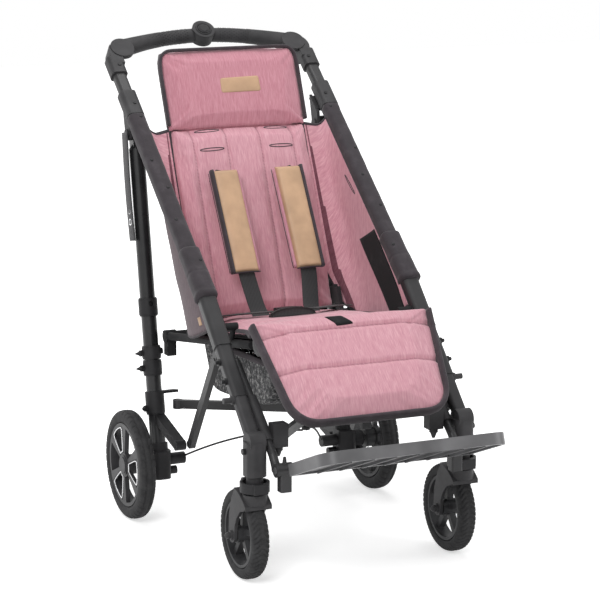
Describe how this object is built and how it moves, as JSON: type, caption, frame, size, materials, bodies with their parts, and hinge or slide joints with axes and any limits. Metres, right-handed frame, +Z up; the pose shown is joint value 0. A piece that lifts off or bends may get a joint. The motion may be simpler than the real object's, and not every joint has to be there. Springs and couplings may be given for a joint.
{
  "type": "special needs buggy",
  "caption": "Folding buggy for a larger child: sloping side tubes, tall padded reclining seat with harness, footrest, swivel front casters and braked rear wheels.",
  "frame": {"origin": "centre of the bounding box on the floor", "axes": "+Z up, front towards -Y, +X to the right seen from the front"},
  "size_m": [0.622, 1.1232, 1.0469],
  "materials": {
    "frame_grey": "satin powder coat",
    "leg_black": "gloss black coat",
    "plate_grey": "metallic grey coat",
    "moulding": "fine textured moulding",
    "moulding_dark": "fine textured moulding",
    "rim_plastic": "satin moulding",
    "grip_rubber": "dotted soft grip",
    "tread": "grooved foam rubber",
    "axle_steel": "drawn steel",
    "screw_black": "black oxide",
    "pink_fabric": "heathered woven upholstery",
    "cover_fabric": "dense woven sleeve",
    "webbing": "ribbed webbing",
    "net": "open net",
    "tan_leather": "grained leatherette",
    "board": "stiff panel"
  },
  "bodies": {
    "chassis": {"main_tube_left": "frame_grey", "main_tube_right": "frame_grey", "handle_elbow_left": "moulding", "handle_elbow_right": "moulding", "handle_grip_left": "grip_rubber", "handle_grip_right": "grip_rubber", "leg_joint_left": "moulding", "leg_joint_right": "moulding", "front_leg_left": "moulding", "front_leg_right": "moulding", "footrest_guide_left": "moulding", "footrest_guide_right": "moulding", "accessory_pins": "moulding", "frame_screws": "screw_black", "brace_bar_a": "frame_grey", "brace_bar_b": "frame_grey", "brace_brackets": "moulding", "rear_cross_bar": "leg_black", "seat_rails": "leg_black", "seat_board": "board", "diagonal_struts": "frame_grey", "seat_cushion": "pink_fabric", "calf_pad": "pink_fabric", "side_wing_left": "pink_fabric", "side_wing_right": "pink_fabric", "tube_cover_left": "cover_fabric", "tube_cover_right": "cover_fabric", "basket": "net", "lap_belt": "webbing", "brake_cable": "screw_black"},
    "rear_frame": {"rear_leg_left": "leg_black", "rear_leg_right": "leg_black", "leg_clamps": "moulding_dark", "clamp_screws": "screw_black", "axle_housing_left": "moulding_dark", "axle_housing_right": "moulding_dark", "rear_axles": "axle_steel", "hand_strap": "webbing"},
    "backrest": {"back_board": "board", "back_cushion": "pink_fabric", "head_pad": "pink_fabric", "harness_straps": "webbing", "shoulder_pads": "tan_leather"},
    "footrest": {"footrest_hangers": "frame_grey"},
    "footplate": {"footplate": "plate_grey"},
    "button": {"handle_button": "moulding_dark"},
    "fork_left": {"caster_fork_left": "moulding"},
    "lock_left": {"caster_lock_left": "moulding_dark"},
    "front_wheel_left": {"front_tyre_left": "tread", "front_rim_left": "rim_plastic"},
    "rear_wheel_left": {"rear_tyre_left": "tread", "rear_rim_left": "rim_plastic"},
    "brake_left": {"brake_pedal_left": "moulding_dark"},
    "fork_right": {"caster_fork_right": "moulding"},
    "lock_right": {"caster_lock_right": "moulding_dark"},
    "front_wheel_right": {"front_tyre_right": "tread", "front_rim_right": "rim_plastic"},
    "rear_wheel_right": {"rear_tyre_right": "tread", "rear_rim_right": "rim_plastic"},
    "brake_right": {"brake_pedal_right": "moulding_dark"}
  },
  "joints": [
    {"name": "frame_fold", "type": "hinge", "parent": "chassis", "child": "rear_frame", "pos_m": [0, 0.37014, 0.82491], "axis": [1, 0, 0], "range_deg": [-20, 0]},
    {"name": "backrest_recline", "type": "hinge", "parent": "chassis", "child": "backrest", "pos_m": [0, 0.14242, 0.432], "axis": [1, 0, 0], "range_deg": [-25, 0]},
    {"name": "footrest_height", "type": "slide", "parent": "chassis", "child": "footrest", "axis": [0, 0.7749, 0.632], "range_m": [-0.02, 0.025]},
    {"name": "footplate_tilt", "type": "hinge", "parent": "footrest", "child": "footplate", "pos_m": [0, -0.34847, 0.24584], "axis": [1, 0, 0], "range_deg": [-15, 15]},
    {"name": "handle_press", "type": "slide", "parent": "chassis", "child": "button", "axis": [0, 0.632, -0.7749], "range_m": [0, 0.004], "stiffness_N_per_m": 400},
    {"name": "swivel_left", "type": "hinge", "parent": "chassis", "child": "fork_left", "pos_m": [-0.232, -0.29758, 0.1895], "axis": [0, 0, 1], "continuous": true},
    {"name": "front_spin_left", "type": "hinge", "parent": "fork_left", "child": "front_wheel_left", "pos_m": [-0.232, -0.24658, 0.0925], "axis": [1, 0, 0], "continuous": true},
    {"name": "swivel_lock_left", "type": "hinge", "parent": "chassis", "child": "lock_left", "pos_m": [-0.232, -0.26758, 0.208], "axis": [1, 0, 0], "range_deg": [-10, 0]},
    {"name": "rear_spin_left", "type": "hinge", "parent": "rear_frame", "child": "rear_wheel_left", "pos_m": [-0.291, 0.24542, 0.119], "axis": [1, 0, 0], "continuous": true},
    {"name": "brake_lever_left", "type": "hinge", "parent": "rear_frame", "child": "brake_left", "pos_m": [-0.224, 0.28542, 0.121], "axis": [1, 0, 0], "range_deg": [-15, 0]},
    {"name": "swivel_right", "type": "hinge", "parent": "chassis", "child": "fork_right", "pos_m": [0.232, -0.29758, 0.1895], "axis": [0, 0, 1], "continuous": true},
    {"name": "front_spin_right", "type": "hinge", "parent": "fork_right", "child": "front_wheel_right", "pos_m": [0.232, -0.24658, 0.0925], "axis": [1, 0, 0], "continuous": true},
    {"name": "swivel_lock_right", "type": "hinge", "parent": "chassis", "child": "lock_right", "pos_m": [0.232, -0.26758, 0.208], "axis": [1, 0, 0], "range_deg": [-10, 0]},
    {"name": "rear_spin_right", "type": "hinge", "parent": "rear_frame", "child": "rear_wheel_right", "pos_m": [0.291, 0.24542, 0.119], "axis": [1, 0, 0], "continuous": true},
    {"name": "brake_lever_right", "type": "hinge", "parent": "rear_frame", "child": "brake_right", "pos_m": [0.224, 0.28542, 0.121], "axis": [1, 0, 0], "range_deg": [-15, 0]}
  ]
}
